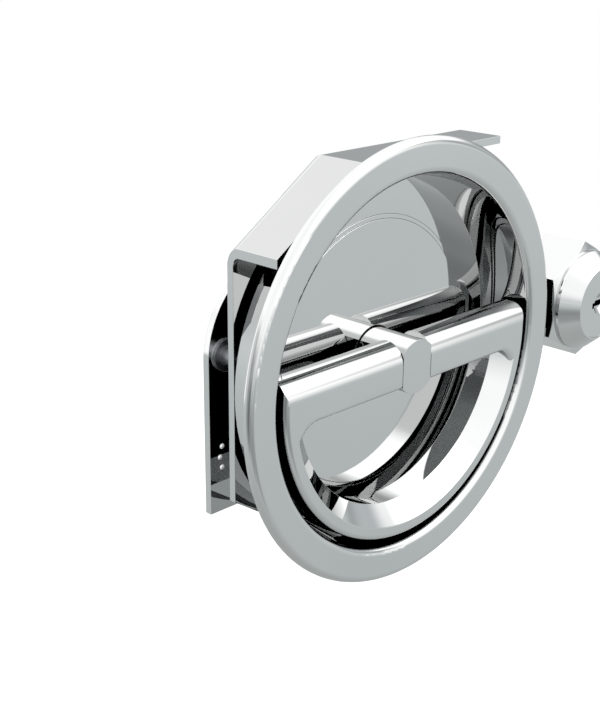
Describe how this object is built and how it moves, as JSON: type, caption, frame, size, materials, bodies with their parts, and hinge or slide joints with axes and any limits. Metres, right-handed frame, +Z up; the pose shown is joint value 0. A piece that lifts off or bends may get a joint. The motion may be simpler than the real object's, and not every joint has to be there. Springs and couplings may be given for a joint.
{
  "type": "flush cam latch",
  "caption": "Flush latch with a round trim ring and dish, a folding D handle that turns a cam on a spindle, a folded mounting bracket, and a cam lock beside it.",
  "frame": {"origin": "centre of the trim ring, in the plane of its front face", "axes": "+X to the right as seen from the front, +Y into the door along the spindle, +Z up"},
  "size_m": [0.2017, 0.0448, 0.15],
  "materials": {
    "polished_steel": "mirror polished",
    "plated_steel": "bright zinc plated",
    "bush_bronze": "turned",
    "gasket_rubber": "matte moulded"
  },
  "bodies": {
    "frame": {"dish": "polished_steel", "floor_disc": "polished_steel", "gasket": "gasket_rubber", "weld_studs": "plated_steel", "front_bracket": "polished_steel", "front_bush": "bush_bronze", "spacers": "plated_steel", "rear_plate": "polished_steel", "rear_bush": "bush_bronze", "stud_washers": "plated_steel", "stud_nuts": "plated_steel", "lock_housing": "polished_steel", "lock_nut": "plated_steel"},
    "shaft": {"spindle": "polished_steel", "hinge_pin": "plated_steel", "cam": "plated_steel", "thrust_washer": "plated_steel", "circlip": "plated_steel"},
    "grip": {"handle": "polished_steel"},
    "key_plug": {"lock_plug": "polished_steel", "lock_cam": "plated_steel", "lock_washer": "plated_steel", "lock_screw": "plated_steel"}
  },
  "joints": [
    {"name": "spindle_turn", "type": "hinge", "parent": "frame", "child": "shaft", "pos_m": [0, 0.028, 0], "axis": [0, -1, 0], "range_deg": [0, 90]},
    {"name": "handle_fold", "type": "hinge", "parent": "shaft", "child": "grip", "pos_m": [0, 0.007, 0.002], "axis": [-1, 0, 0], "range_deg": [0, 90]},
    {"name": "key_turn", "type": "hinge", "parent": "frame", "child": "key_plug", "pos_m": [0.1047, 0.02, 0], "axis": [0, -1, 0], "range_deg": [0, 90]}
  ]
}
